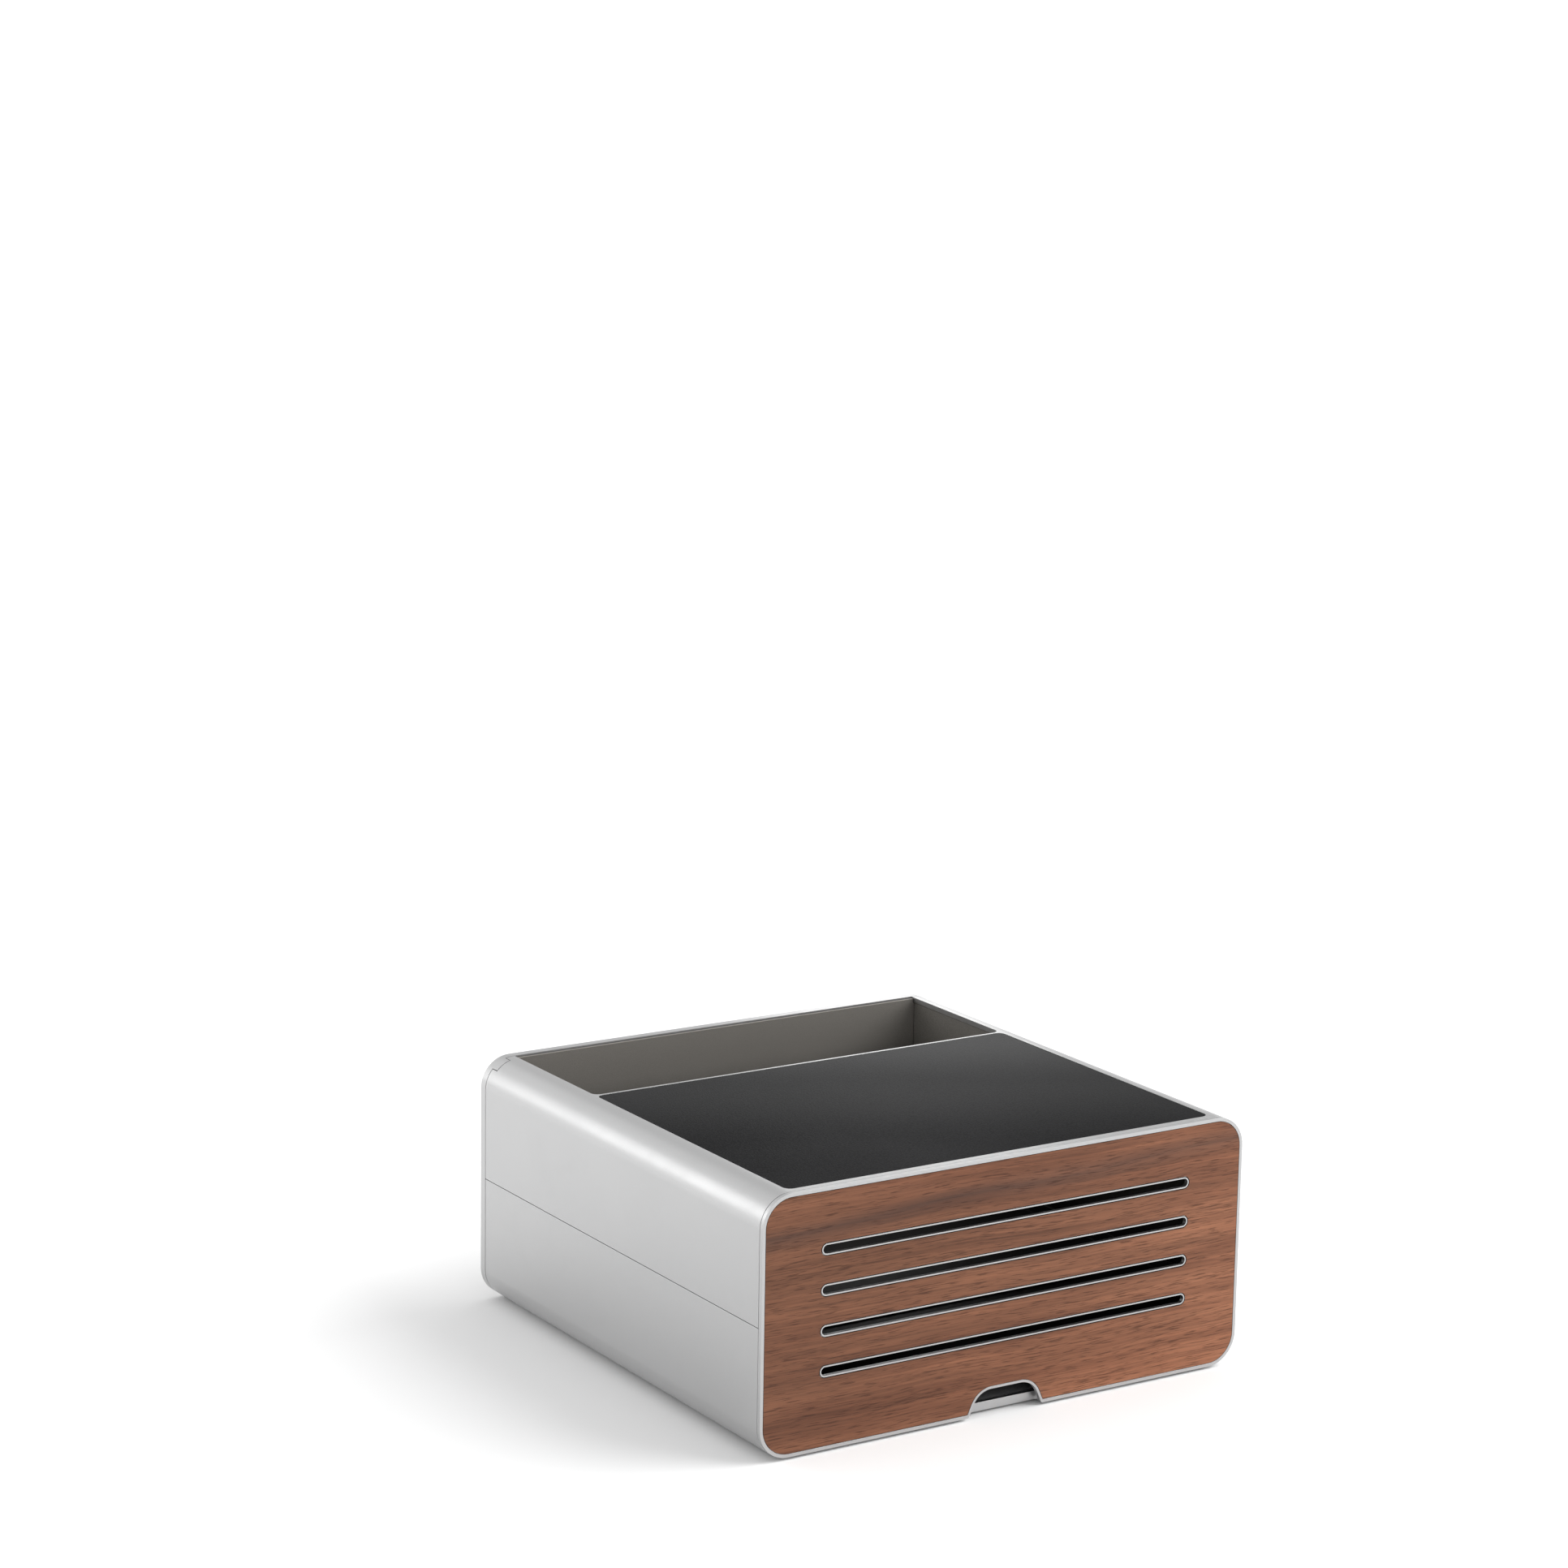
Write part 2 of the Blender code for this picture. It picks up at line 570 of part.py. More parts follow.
def make_shelf(parts, cutters):
    """The steel shelf: sides turned up, a stiffening lip under the front and a cable notch."""
    low = SHELF_BOTTOM - SHELF_LIP
    inner = SHELF_HALF - SHELF_THICKNESS
    edge_top = SHELF_TOP + SHELF_RAIL
    section = [
        (-SHELF_HALF, SHELF_BOTTOM), (SHELF_HALF, SHELF_BOTTOM), (SHELF_HALF, edge_top),
        (inner, edge_top), (inner, SHELF_TOP), (-inner, SHELF_TOP), (-inner, edge_top),
        (-SHELF_HALF, edge_top),
    ]
    shelf = extruded("shelf", [section], "Y", SHELF_FRONT, -SHELF_FRONT, parts, "dark_steel")
    lip = box("shelf_lip", (-inner, SHELF_FRONT + SHEET, low),
              (inner, SHELF_FRONT + SHEET + SHELF_THICKNESS, SHELF_TOP - SHEET), cutters)
    boolean(shelf, lip, "UNION")
    cable_edge = rounded_rectangle((-PORT_HALF, -SHELF_FRONT - CABLE_NOTCH_DEPTH),
                                   (PORT_HALF, -SHELF_FRONT + CABLE_NOTCH_DEPTH), PORT_RADIUS)
    cable_notch = extruded("cable_notch", [cable_edge], "Z", low, SHELF_TOP + WALL, cutters)
    boolean(shelf, cable_notch)
    grips = []
    for end, sign in ENDS.items():
        edge = rounded_rectangle((-GRIP_SIZE[0] / 2, sign * GRIP_OFFSET - GRIP_SIZE[1] / 2),
                                 (GRIP_SIZE[0] / 2, sign * GRIP_OFFSET + GRIP_SIZE[1] / 2),
                                 GRIP_CORNER)
        base = SHELF_TOP + GAP
        grips.append(extruded(f"shelf_grip_{end}", [edge], "Z", base, base + GRIP_SIZE[2],
                              parts, "rubber"))
    return [shelf] + grips


def make_peg(side, x_sign, end, y_sign, parts):
    """A plain steel peg with chamfered ends, pushed into the lowest rail hole."""
    half = PEG_LENGTH / 2
    end_radius = PEG_RADIUS - PEG_CHAMFER
    profile = [
        (0.0, half), (end_radius, half), (PEG_RADIUS, half - PEG_CHAMFER),
        (PEG_RADIUS, -half + PEG_CHAMFER), (end_radius, -half), (0.0, -half),
    ]
    peg = turned(f"shelf_peg_{end}_{side}", profile, parts, "zinc_steel")
    peg.rotation_euler = (0, math.pi / 2, 0)
    middle = RAIL_INNER + RAIL_THICKNESS + PEG_REACH - half
    peg.location = (x_sign * middle, y_sign * PEG_COLUMN, LEVEL_LOWEST)


def screw_profile(grow=0.0):
    """A countersunk screw, head up, with its face at z = 0; grow makes the hole for it."""
    head = SCREW_HEAD + grow
    shank = SCREW_RADIUS + grow
    length = SCREW_HOLE_DEPTH + grow
    cone = SCREW_RIM + head - shank
    return [(0.0, 2 * grow), (head, 2 * grow), (head, -SCREW_RIM), (shank, -cone),
            (shank, -length), (0.0, -length)]


def make_screw(name, location, rotation, length, parts, cutters):
    """A countersunk machine screw with a hexagon socket."""
    head = SCREW_HEAD
    shank = SCREW_RADIUS
    cone = SCREW_RIM + head - shank
    profile = [(0.0, 0.0), (head, 0.0), (head, -SCREW_RIM), (shank, -cone),
               (shank, -length + SCREW_TIP), (shank - SCREW_TIP, -length), (0.0, -length)]
    screw = turned(name, profile, parts, "zinc_steel", steps=12)
    screw.rotation_euler = rotation
    screw.location = location
    recess = [(0.0, GAP), (SOCKET_RADIUS, GAP), (SOCKET_RADIUS, -SOCKET_DEPTH),
              (0.0, -SOCKET_DEPTH)]
    socket = turned(name + "_socket", recess, cutters, None, steps=6)
    socket.rotation_euler = rotation
    socket.location = location
    boolean(screw, socket)


def make_fasteners(parts, cutters):
    """Screws up through the floor into the rails, and through the back plate into them."""
    for side, x_sign in SIDES.items():
        for end, y_sign in ENDS.items():
            place = (x_sign * SOLE_X, y_sign * BASE_SCREW_ROW, BOTTOM + GAP)
            make_screw(f"base_screw_{end}_{side}", place, (math.pi, 0, 0), BASE_SCREW_LENGTH,
                       parts, cutters)
        for label, height in zip(("lower", "upper"), BACK_SCREW_HEIGHTS):
            place = (x_sign * FASTENER_X, BACK - GAP, height)
            make_screw(f"back_screw_{label}_{side}", place, (-math.pi / 2, 0, 0),
                       BACK_SCREW_LENGTH, parts, cutters)


def make_magnets(parts):
    """Four magnets on the rails' front flanges. Returns the strike discs on the front plate."""
    discs = []
    for side, sign in SIDES.items():
        for label, height in zip(("lower", "upper"), MAGNET_HEIGHTS):
            place = (sign * FASTENER_X, height)
            cylinder(f"magnet_{label}_{side}", MAGNET_RADIUS, MAGNET_FRONT,
                     MAGNET_FRONT + MAGNET_LENGTH, place, "Y", parts, "nickel")
            discs.append(cylinder(f"strike_disc_{label}_{side}", MAGNET_RADIUS, DISC_FRONT,
                                  DISC_FRONT + DISC_THICKNESS, place, "Y", parts, "zinc_steel"))
    return discs


def make_feet(parts):
    """Four low rubber feet with rounded rims, sunk into the floor."""
    height = FOOT_HEIGHT + FOOT_SINK - GAP
    profile = [(0.0, height), (FOOT_RADIUS, height)]
    profile += arc((FOOT_RADIUS - FOOT_EDGE, FOOT_EDGE), FOOT_EDGE, 0, -90, 2)
    profile += [(0.0, 0.0)]
    for side, x_sign in SIDES.items():
        for end, y_sign in ENDS.items():
            foot = turned(f"foot_{end}_{side}", profile, parts, "rubber", steps=28)
            foot.location = (x_sign * FOOT_PLACE[0], y_sign * FOOT_PLACE[1], 0.0)


def make_mat(parts):
    """The soft mat bonded into the recess in the top."""
    edge = rounded_rectangle((-OPENING_HALF + GAP, MAT_FRONT + GAP),
                             (OPENING_HALF - GAP, MAT_BACK - GAP), OPENING_RADIUS - GAP)
    base = HEIGHT - MAT_RECESS + GAP
    extruded("top_mat", [edge], "Z", base, base + MAT_THICKNESS, parts, "leatherette")


def make_floor_pad(parts):
    """The black felt pad on the floor of the storage space."""
    half = RAIL_INNER - SOLE_WIDTH - GAP
    front = FRONT + RELIEF_DEPTH + WALL
    edge = rounded_rectangle((-half, front), (half, LINER_BACK - SHEET - GAP), SHEET)
    base = FLOOR_TOP + GAP
    extruded("floor_pad", [edge], "Z", base, base + PAD_THICKNESS, parts, "felt")


def main():
    """Build the whole riser."""
    clear_scene()
    parts = make_collection("monitor_riser_stand")
    cutters = make_collection("cutters")
    make_lower_shell(parts, cutters)
    make_upper_shell(parts, cutters)
    make_back_plate(parts, cutters)
    make_grommet(parts)
    make_liner(parts)
    make_brace(parts)
    for side, sign in SIDES.items():
        make_rail(side, sign, parts, cutters)
        make_splice(side, sign, parts)
        for end, y_sign in ENDS.items():
            make_peg(side, sign, end, y_sign, parts)
    make_fasteners(parts, cutters)
    make_feet(parts)
    make_mat(parts)
    make_floor_pad(parts)
    front = make_front(parts, cutters) + make_magnets(parts)
    parent_to(front, "front_panel_slide", (0.0, FRONT, HEIGHT / 2), parts)
    shelf = make_shelf(parts, cutters)
    parent_to(shelf, "shelf_lift", (0.0, 0.0, SHELF_BOTTOM), parts)


main()
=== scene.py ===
"""Looks of the monitor riser stand: satin aluminium, walnut inlay, black leatherette and dark steel.

Metres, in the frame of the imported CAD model: +X right, +Y back, +Z up, origin on the table.
"""
import json
import math

import bmesh
import bpy
from mathutils import Matrix, Vector


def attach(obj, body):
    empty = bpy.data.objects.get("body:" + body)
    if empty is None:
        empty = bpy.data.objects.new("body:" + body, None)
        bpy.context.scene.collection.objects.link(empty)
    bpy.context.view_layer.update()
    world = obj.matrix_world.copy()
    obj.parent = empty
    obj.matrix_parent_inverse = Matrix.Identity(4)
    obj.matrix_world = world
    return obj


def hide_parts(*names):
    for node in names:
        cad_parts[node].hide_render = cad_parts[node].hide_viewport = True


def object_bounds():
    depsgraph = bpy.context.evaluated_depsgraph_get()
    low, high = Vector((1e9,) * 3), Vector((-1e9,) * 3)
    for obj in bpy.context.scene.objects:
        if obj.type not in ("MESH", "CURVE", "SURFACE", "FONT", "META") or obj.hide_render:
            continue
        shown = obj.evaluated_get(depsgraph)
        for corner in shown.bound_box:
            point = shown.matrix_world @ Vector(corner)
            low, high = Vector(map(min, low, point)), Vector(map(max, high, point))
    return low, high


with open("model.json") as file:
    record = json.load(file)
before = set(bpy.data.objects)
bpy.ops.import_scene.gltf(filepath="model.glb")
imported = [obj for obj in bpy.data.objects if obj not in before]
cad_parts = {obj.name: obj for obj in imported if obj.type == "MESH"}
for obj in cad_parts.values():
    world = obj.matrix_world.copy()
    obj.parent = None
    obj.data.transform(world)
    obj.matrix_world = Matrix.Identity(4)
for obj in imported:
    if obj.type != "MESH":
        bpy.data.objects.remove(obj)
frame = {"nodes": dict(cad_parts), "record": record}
cad_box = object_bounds()

NODES = frame["nodes"]
LOW, HIGH = cad_box
MM = 0.001


# ---------------------------------------------------------------- shader helpers

class Graph:
    """A material's node tree, with short calls to add and link its nodes."""

    def __init__(self, name):
        self.material = bpy.data.materials.new(name)
        self.material.use_nodes = True
        self.tree = self.material.node_tree
        self.shader = self.tree.nodes["Principled BSDF"]
        self.object_point = self.add("ShaderNodeTexCoord").outputs["Object"]

    def add(self, kind, settings=None, **inputs):
        """Add a node, set its properties, and set or link its inputs by name."""
        node = self.tree.nodes.new(kind)
        for key, value in (settings or {}).items():
            setattr(node, key, value)
        for key, value in inputs.items():
            self.put(node, key.replace("_", " "), value)
        return node

    def put(self, node, key, value):
        """Set one input to a value, or link it to another node's output."""
        socket = node.inputs[key]
        if isinstance(value, bpy.types.NodeSocket):
            self.tree.links.new(value, socket)
        else:
            socket.default_value = value

    def stretched(self, scale, source=None, rotation=(0, 0, 0)):
        """The object's own coordinates, scaled separately along X, Y and Z."""
        mapping = self.add("ShaderNodeMapping", Scale=scale, Rotation=rotation)
        self.put(mapping, "Vector", source or self.object_point)
        return mapping.outputs["Vector"]

    def noise(self, scale, detail=3.0, roughness=0.5, distortion=0.0, vector=None):
        """A noise texture's factor."""
        node = self.add("ShaderNodeTexNoise", Scale=scale, Detail=detail, Roughness=roughness,
                        Distortion=distortion)
        self.put(node, "Vector", vector or self.object_point)
        return node.outputs["Fac"]

    def ramp(self, factor, stops, interpolation="LINEAR"):
        """A colour ramp; each stop is a position with a grey level or a colour."""
        node = self.add("ShaderNodeValToRGB", Fac=factor)
        ramp = node.color_ramp
        ramp.interpolation = interpolation
        while len(ramp.elements) < len(stops):
            ramp.elements.new(0.5)
        for element, (position, colour) in zip(ramp.elements, stops):
            element.position = position
            grey = isinstance(colour, (int, float))
            element.color = (colour, colour, colour, 1.0) if grey else (*colour, 1.0)
        return node.outputs["Color"]

    def math(self, operation, first, second=0.0, clamp=False):
        """A math node."""
        node = self.add("ShaderNodeMath", {"operation": operation, "use_clamp": clamp})
        self.put(node, 0, first)
        self.put(node, 1, second)
        return node.outputs["Value"]

    def mix(self, factor, first, second, blend="MIX"):
        """Mix two colours."""
        node = self.add("ShaderNodeMix", {"data_type": "RGBA", "blend_type": blend})
        self.put(node, 0, factor)
        self.put(node, 6, first)
        self.put(node, 7, second)
        return node.outputs[2]

    def spread(self, factor, low, high):
        """Map a factor from 0..1 to a range."""
        node = self.add("ShaderNodeMapRange", Value=factor)
        self.put(node, "To Min", low)
        self.put(node, "To Max", high)
        return node.outputs["Result"]

    def bump(self, height, distance, strength=1.0, below=None):
        """A bump of a real height in metres, over another one if given."""
        node = self.add("ShaderNodeBump", Height=height, Distance=distance, Strength=strength)
        if below is not None:
            self.put(node, "Normal", below)
        return node.outputs["Normal"]

    def surface(self, **inputs):
        """Set or link the Principled shader's own sockets."""
        for key, value in inputs.items():
            self.put(self.shader, key.replace("_", " "), value)
        return self.material


def rgb(red, green, blue):
    """A colour for a socket."""
    return (red, green, blue, 1.0)


# ---------------------------------------------------------------- materials

# The walnut's dark streak: its height at the middle and its rise per metre to the right
STREAK_HEIGHT = 0.1015
STREAK_SLOPE = 0.045
STREAK_HALF = 0.006


def anodised_aluminium(name, tone=0.51, rough=(0.34, 0.44)):
    """Bead-blasted, clear anodised aluminium: fine sparkle, faint handling marks."""
    g = Graph(name)
    blast = g.noise(5200.0, 2.0, 0.6)
    cloud = g.noise(18.0, 4.0, 0.55)
    smudge = g.ramp(g.noise(42.0, 5.0, 0.6, 0.6), [(0.52, 0.0), (0.72, 1.0)])
    grain = g.ramp(blast, [(0.30, tone * 0.92), (0.70, tone * 1.05)])
    tint = g.mix(g.math("MULTIPLY", cloud, 0.35), grain, rgb(tone * 0.97, tone * 0.98, tone))
    level = g.spread(cloud, rough[0], rough[1])
    level = g.math("ADD", level, g.math("MULTIPLY", smudge, 0.035))
    pits = g.bump(blast, 0.000012, 0.55)
    return g.surface(Base_Color=tint, Metallic=1.0, Roughness=level, Normal=pits)


def walnut():
    """Oiled walnut veneer, grain along X: streaks, fibres and short dark pores, with painted light
    paler to the right and painted shade on its edges.
    """
    g = Graph("walnut_veneer")
    wander = g.noise(5.0, 3.0, 0.5)
    bend = g.add("ShaderNodeCombineXYZ")
    g.put(bend, "Z", g.spread(wander, -0.006, 0.006))
    shifted = g.add("ShaderNodeVectorMath", {"operation": "ADD"})
    g.put(shifted, 0, g.object_point)
    g.put(shifted, 1, bend.outputs["Vector"])
    point = shifted.outputs["Vector"]
    split = g.add("ShaderNodeSeparateXYZ", Vector=point)

    band = g.noise(1.0, 4.0, 0.55, 0.25, g.stretched((5.0, 5.0, 75.0), point))
    broad = g.noise(1.0, 2.0, 0.5, 0.0, g.stretched((3.0, 3.0, 16.0), point))
    strand = g.noise(1.0, 3.0, 0.65, 0.1, g.stretched((7.0, 7.0, 380.0), point))
    fibre = g.noise(1.0, 3.0, 0.6, 0.0, g.stretched((15.0, 15.0, 1300.0), point))
    fleck = g.noise(1.0, 2.0, 0.55, 0.0, g.stretched((105.0, 105.0, 2000.0), point))
    pore_zone = g.noise(1.0, 2.0, 0.5, 0.0, g.stretched((9.0, 9.0, 120.0), point))

    ground = g.ramp(band, [(0.28, (0.104, 0.038, 0.019)), (0.44, (0.178, 0.070, 0.036)),
                           (0.60, (0.248, 0.102, 0.053)), (0.78, (0.158, 0.062, 0.032))])
    tone = g.ramp(broad, [(0.30, 0.76), (0.70, 1.22)])
    ground = g.mix(1.0, ground, tone, "MULTIPLY")
    # Painted light: the wood is made paler towards the right, as if lit more from that side
    painted_light_across = g.math("ADD", g.math("MULTIPLY", split.outputs["X"], 4.0), 0.5)
    ground = g.mix(1.0, ground, g.ramp(painted_light_across, [(0.0, 0.78), (1.0, 1.20)]), "MULTIPLY")
    strands = g.ramp(strand, [(0.30, 0.78), (0.50, 1.0), (0.70, 1.16)])
    ground = g.mix(0.9, ground, strands, "MULTIPLY")
    fibres = g.ramp(fibre, [(0.30, 0.72), (0.50, 1.0), (0.72, 1.20)])
    ground = g.mix(0.9, ground, fibres, "MULTIPLY")

    lift = g.math("MULTIPLY", split.outputs["X"], STREAK_SLOPE)
    away = g.math("SUBTRACT", split.outputs["Z"], g.math("ADD", lift, STREAK_HEIGHT))
    away = g.math("ABSOLUTE", g.math("ADD", away, g.spread(band, -0.003, 0.003)))
    streak = g.ramp(g.math("DIVIDE", away, STREAK_HALF), [(0.0, 1.0), (0.35, 0.62), (1.0, 0.0)], "EASE")
    ground = g.mix(g.math("MULTIPLY", streak, 0.55), ground, rgb(0.060, 0.034, 0.026))

    pores = g.ramp(g.math("ADD", fleck, g.math("MULTIPLY", pore_zone, 0.16)),
                   [(0.620, 0.0), (0.74, 1.0)])
    ground = g.mix(g.math("MULTIPLY", pores, 0.58), ground, rgb(0.040, 0.017, 0.011))

    # Painted shade: the inlay's bevels and side walls, which face away from the front, are darkened as
    # a shadow line round its edge
    facing = g.add("ShaderNodeSeparateXYZ",
                   Vector=g.add("ShaderNodeNewGeometry").outputs["Normal"])
    painted_edge_shade = g.ramp(g.math("ABSOLUTE", facing.outputs["Y"]), [(0.55, 1.0), (0.92, 0.0)])
    ground = g.mix(g.math("MULTIPLY", painted_edge_shade, 0.9), ground, rgb(0.022, 0.011, 0.008))

    height = g.math("SUBTRACT", g.math("MULTIPLY", fibre, 0.35), pores)
    relief = g.bump(height, 0.00007, 0.5)
    gloss = g.spread(fibre, 0.50, 0.62)
    gloss = g.math("ADD", gloss, g.math("MULTIPLY", pores, 0.2))
    return g.surface(Base_Color=ground, Roughness=gloss, Normal=relief, Specular_IOR_Level=0.26)


def leatherette():
    """Soft black leatherette: a close pebble grain, with a painted sheen that makes it paler towards
    the back right.
    """
    g = Graph("black_leatherette")
    warp = g.noise(900.0, 2.0, 0.5)
    cells = g.add("ShaderNodeTexVoronoi", {"feature": "SMOOTH_F1"}, Scale=1300.0, Smoothness=0.35,
                  Randomness=1.0)
    g.put(cells, "Vector", g.object_point)
    pebble = cells.outputs["Distance"]
    fine = g.noise(2600.0, 3.0, 0.65)
    sheen_and_wear = g.noise(9.0, 3.0, 0.5)
    crest = g.ramp(pebble, [(0.10, 1.0), (0.75, 0.0)])
    colour = g.mix(crest, rgb(0.003, 0.003, 0.0035), rgb(0.008, 0.008, 0.009))
    speck = g.ramp(fine, [(0.35, 0.60), (0.70, 1.50)])
    colour = g.mix(0.9, colour, speck, "MULTIPLY")

    # Painted sheen: the colour is raised towards the back right, where light glances off the mat; the
    # same noise also varies the roughness
    split = g.add("ShaderNodeSeparateXYZ", Vector=g.object_point)
    along = g.math("ADD", g.math("MULTIPLY", split.outputs["X"], 2.2),
                   g.math("MULTIPLY", split.outputs["Y"], 4.6))
    along = g.math("ADD", along, g.spread(sheen_and_wear, 0.50, 0.72))
    painted_sheen = g.ramp(along, [(0.15, 0.0), (0.62, 0.38), (1.05, 1.0)], "EASE")
    sheen_colour = g.mix(g.math("MULTIPLY", speck, 0.6), rgb(0.042, 0.042, 0.042),
                   rgb(0.075, 0.075, 0.075))
    colour = g.mix(g.math("MULTIPLY", painted_sheen, 0.85), colour, sheen_colour)
    level = g.spread(g.math("ADD", g.math("MULTIPLY", crest, -0.25), sheen_and_wear), 0.50, 0.66)
    height = g.math("ADD", g.math("MULTIPLY", crest, 0.8), g.math("MULTIPLY", warp, 0.5))
    relief = g.bump(height, 0.00010, 0.45)
    relief = g.bump(fine, 0.00002, 0.5, relief)
    return g.surface(Base_Color=colour, Roughness=level, Normal=relief, Specular_IOR_Level=0.03)


def powder_coat():
    """Warm dark grey powder coat on steel, with painted shade: darker lower down in the well, paler
    near the open top.
    """
    g = Graph("dark_powder_coat")
    peel = g.noise(1500.0, 3.0, 0.55)
    speck = g.noise(4200.0, 2.0, 0.5)
    cloud = g.noise(11.0, 3.0, 0.5)
    grain = g.ramp(speck, [(0.30, (0.120, 0.112, 0.100)), (0.70, (0.220, 0.208, 0.190))])
    grain = g.mix(g.math("MULTIPLY", cloud, 0.3), grain, rgb(0.175, 0.165, 0.150))
    split = g.add("ShaderNodeSeparateXYZ", Vector=g.object_point)
    # Painted shade: the coat's colour is darkened lower down, where the well lies in shade
    level = g.math("ADD", g.math("MULTIPLY", split.outputs["Z"], 10.0),
                   g.spread(cloud, -0.06, 0.06))
    painted_well_shade = g.ramp(level, [(0.46, 0.03), (0.78, 0.50), (1.12, 1.18)], "EASE")
    colour = g.mix(1.0, grain, painted_well_shade, "MULTIPLY")
    relief = g.bump(peel, 0.00003, 0.6)
    return g.surface(Base_Color=colour, Metallic=0.3, Roughness=g.spread(cloud, 0.48, 0.60),
                     Normal=relief, Specular_IOR_Level=0.25)


def rubber():
    """Matt black rubber with faint dust."""
    g = Graph("black_rubber")
    dust = g.noise(260.0, 4.0, 0.6)
    colour = g.ramp(dust, [(0.35, (0.016, 0.016, 0.017)), (0.75, (0.040, 0.040, 0.040))])
    relief = g.bump(g.noise(2600.0, 2.0, 0.6), 0.00004, 0.6)
    return g.surface(Base_Color=colour, Roughness=g.spread(dust, 0.70, 0.90), Normal=relief)


def felt():
    """Short-pile black felt: a tangle of fibres."""
    g = Graph("black_felt")
    tangle = g.noise(1.0, 4.0, 0.7, 1.5, g.stretched((1700.0, 2600.0, 2000.0)))
    colour = g.ramp(tangle, [(0.30, (0.008, 0.008, 0.009)), (0.72, (0.034, 0.034, 0.036))])
    relief = g.bump(tangle, 0.0003, 0.7)
    return g.surface(Base_Color=colour, Roughness=g.spread(tangle, 0.88, 1.0), Normal=relief,
                     Sheen_Weight=0.3, Sheen_Roughness=0.6)


def plated_metal(name, tint, rough):
    """Plated steel: faint turning marks and a mottled shine."""
    g = Graph(name)
    mottle = g.noise(900.0, 4.0, 0.6)
    lines = g.noise(1.0, 2.0, 0.6, 0.0, g.stretched((9000.0, 400.0, 9000.0)))
    dark = tuple(0.86 * value for value in tint)
    colour = g.ramp(mottle, [(0.30, dark), (0.70, tint)])
    relief = g.bump(lines, 0.00001, 0.5)
    return g.surface(Base_Color=colour, Metallic=1.0, Roughness=g.spread(mottle, rough, rough + 0.12),
                     Normal=relief)


MATERIALS = {
    "shell_aluminium": anodised_aluminium("anodised_aluminium"),
    "splice_aluminium": anodised_aluminium("mill_aluminium", 0.58, (0.30, 0.42)),
    "walnut": walnut(),
    "mat": leatherette(),
    "dark_steel": powder_coat(),
    "rubber": rubber(),
    "felt": felt(),
    "zinc_steel": plated_metal("zinc_plate", (0.60, 0.60, 0.62), 0.28),
    "nickel": plated_metal("nickel_plate", (0.70, 0.68, 0.64), 0.16),
}


# ---------------------------------------------------------------- pieces

SLOT_OF = {part["node"]: part["material_slot"] for part in frame["record"]["subparts"]}
BODY_OF = {node: body for body, members in frame["record"]["behaviour"]["bodies"].items()
           for node in members}

# Edge radius of each piece in millimetres; anything else gets the plain one
EDGES = {
    "lower_shell": 0.08,
    "upper_shell": 0.10,
    "front_plate": 0.12,
    "back_plate": 0.60,
    "walnut_inlay": 0.16,
    "back_liner": 0.15,
    "shelf": 0.35,
    "rail_left": 0.30,
    "rail_right": 0.30,
    "top_brace": 0.30,
    "floor_pad": 0.40,
    "cable_grommet": 0.40,
}
PLAIN_EDGE = 0.20
SHARP = math.radians(28)
FLAT = math.radians(0.4)
WELD = 0.00001


def refined(node):
    """A CAD node's shape with its flat faces cleaned and its sharp edges rounded over."""
    width = EDGES.get(node, PLAIN_EDGE) * MM
    shape = bmesh.new()
    shape.from_mesh(NODES[node].data)
    bmesh.ops.remove_doubles(shape, verts=shape.verts, dist=WELD)
    bmesh.ops.dissolve_limit(shape, angle_limit=FLAT, verts=shape.verts, edges=shape.edges)
    sharp = [edge for edge in shape.edges if edge.is_manifold and edge.calc_face_angle() > SHARP]
    bmesh.ops.bevel(shape, geom=sharp, offset=width, offset_type="OFFSET", segments=3,
                    profile=0.5, affect="EDGES", clamp_overlap=True)
    mesh = bpy.data.meshes.new(node + "_looks")
    shape.to_mesh(mesh)
    shape.free()
    mesh.materials.append(MATERIALS[SLOT_OF[node]])
    mesh.shade_smooth()
    piece = bpy.data.objects.new(node + "_looks", mesh)
    bpy.context.scene.collection.objects.link(piece)
    even = piece.modifiers.new("even_normals", "WEIGHTED_NORMAL")
    even.keep_sharp = True
    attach(piece, BODY_OF[node])
    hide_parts(node)
    return piece


for node_name in sorted(NODES):
    refined(node_name)


# ---------------------------------------------------------------- stage, light and camera

# Brightness of the surround at the horizon and overhead
HORIZON = 1.08
AMBIENT = 0.70
# Distant lights: name, direction they come from, spread in degrees, strength
SUNS = [
    ("sky", (-0.15, 0.25, 1.0), 120.0, 0.32),
    ("key", (1.0, -0.55, 1.0), 50.0, 2.2),
]
# Softboxes: name, place, target, size, power in watts
BOXES = [
    ("right_box", (0.75, -0.45, 0.45), (0.0, -0.05, 0.06), (0.4, 0.4), 1.0),
    ("rear_box", (-0.35, 1.4, 1.0), (0.0, 0.0, 0.06), (0.9, 0.6), 0.7),
    ("mat_box", (0.265, 0.35, 0.224), (0.05, 0.01, 0.116), (0.16, 0.10), 0.10),
    ("left_box", (-0.9, 0.9, 0.5), (0.0, 0.0, 0.06), (0.6, 0.6), 2.2),
    ("front_box", (-0.2, -1.5, 0.8), (0.0, 0.0, 0.06), (0.7, 0.7), 1.0),
]

# The camera's angles in degrees, and its place
CAMERA_ANGLES = (-32.541, 11.807, 0.934)
CAMERA_LENS = 94.01
CAMERA_PLACE = (-0.9830, LOW.y - 1.3553, 0.6246)
FLOOR_RADIUS = 60.0
FLOOR_SIDES = 64


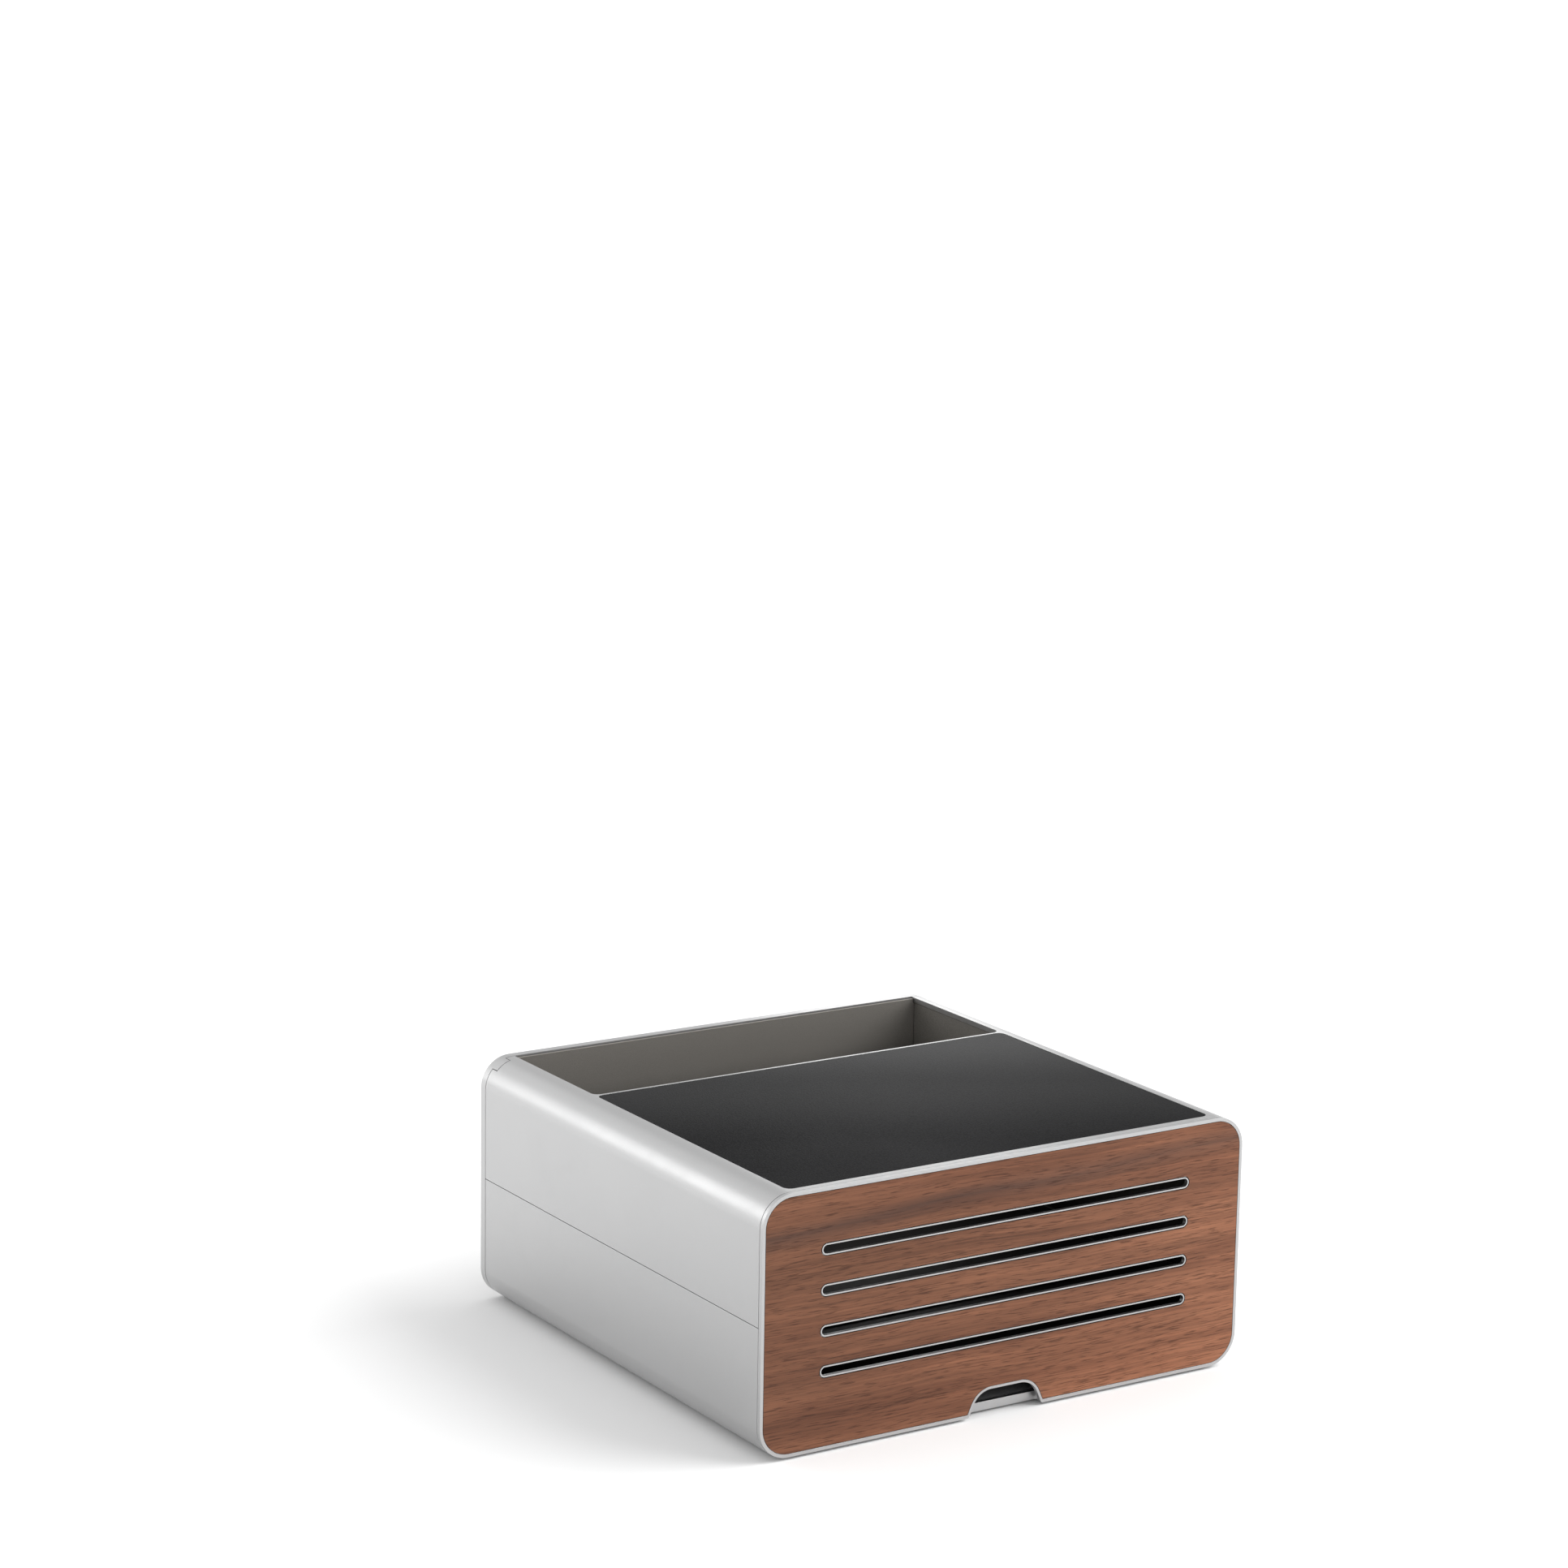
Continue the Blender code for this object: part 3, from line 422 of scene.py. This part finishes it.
def make_stage():
    """A plain pale floor, wide enough to meet the pale surround at the horizon."""
    turns = [math.tau * side / FLOOR_SIDES for side in range(FLOOR_SIDES)]
    rim = [(FLOOR_RADIUS * math.cos(turn), FLOOR_RADIUS * math.sin(turn), 0.0) for turn in turns]
    mesh = bpy.data.meshes.new("floor")
    mesh.from_pydata(rim, [], [list(range(FLOOR_SIDES))])
    floor = bpy.data.objects.new("floor", mesh)
    bpy.context.scene.collection.objects.link(floor)
    g = Graph("pale_floor")
    g.surface(Base_Color=rgb(0.90, 0.90, 0.90), Roughness=0.9, Specular_IOR_Level=0.2)
    mesh.materials.append(g.material)


def area_light(name, place, target, size, power):
    """A soft rectangular light aimed at a point."""
    lamp = bpy.data.lights.new(name, "AREA")
    lamp.shape = "RECTANGLE"
    lamp.size, lamp.size_y = size
    lamp.energy = power
    thing = bpy.data.objects.new(name, lamp)
    bpy.context.scene.collection.objects.link(thing)
    thing.location = place
    thing.rotation_euler = (Vector(target) - Vector(place)).to_track_quat("-Z", "Y").to_euler()
    thing.visible_camera = False


def sun_light(name, direction, spread, strength):
    """A distant light whose large angle makes soft shadows."""
    lamp = bpy.data.lights.new(name, "SUN")
    lamp.energy = strength
    lamp.angle = math.radians(spread)
    thing = bpy.data.objects.new(name, lamp)
    bpy.context.scene.collection.objects.link(thing)
    thing.rotation_euler = (-Vector(direction)).to_track_quat("-Z", "Y").to_euler()


def make_world():
    """A surround that is white at the horizon and dimmer overhead."""
    world = bpy.data.worlds.new("studio")
    bpy.context.scene.world = world
    world.use_nodes = True
    tree = world.node_tree
    background = tree.nodes["Background"]
    place = tree.nodes.new("ShaderNodeTexCoord")
    split = tree.nodes.new("ShaderNodeSeparateXYZ")
    fade = tree.nodes.new("ShaderNodeMapRange")
    fade.interpolation_type = "SMOOTHSTEP"
    fade.inputs["From Min"].default_value = 0.09
    fade.inputs["From Max"].default_value = 0.30
    fade.inputs["To Min"].default_value = HORIZON
    fade.inputs["To Max"].default_value = AMBIENT
    tree.links.new(place.outputs["Generated"], split.inputs["Vector"])
    tree.links.new(split.outputs["Z"], fade.inputs["Value"])
    tree.links.new(fade.outputs["Result"], background.inputs["Strength"])
    background.inputs["Color"].default_value = rgb(1.0, 1.0, 1.0)


def make_lights():
    """Light the surround, the distant lights and the softboxes."""
    make_world()
    for name, direction, spread, strength in SUNS:
        sun_light(name, direction, spread, strength)
    for name, place, target, size, power in BOXES:
        area_light(name, place, target, size, power)


def make_camera():
    """The camera at the photograph's angle, with its slight roll."""
    azimuth, elevation, roll = (math.radians(angle) for angle in CAMERA_ANGLES)
    back = Vector((math.sin(azimuth) * math.cos(elevation),
                   -math.cos(azimuth) * math.cos(elevation), math.sin(elevation)))
    right = (-back).cross(Vector((0, 0, 1))).normalized()
    up = back.cross(right)
    rolled_right = right * math.cos(roll) + up * math.sin(roll)
    rolled_up = -right * math.sin(roll) + up * math.cos(roll)
    turn = Matrix((rolled_right, rolled_up, back)).transposed()
    lens = bpy.data.cameras.new("camera")
    lens.sensor_width = 36.0
    lens.lens = CAMERA_LENS
    camera = bpy.data.objects.new("camera", lens)
    bpy.context.scene.collection.objects.link(camera)
    camera.matrix_world = Matrix.Translation(CAMERA_PLACE) @ turn.to_4x4()
    bpy.context.scene.camera = camera


make_stage()
make_lights()
make_camera()
bpy.context.scene.view_settings.view_transform = "Standard"
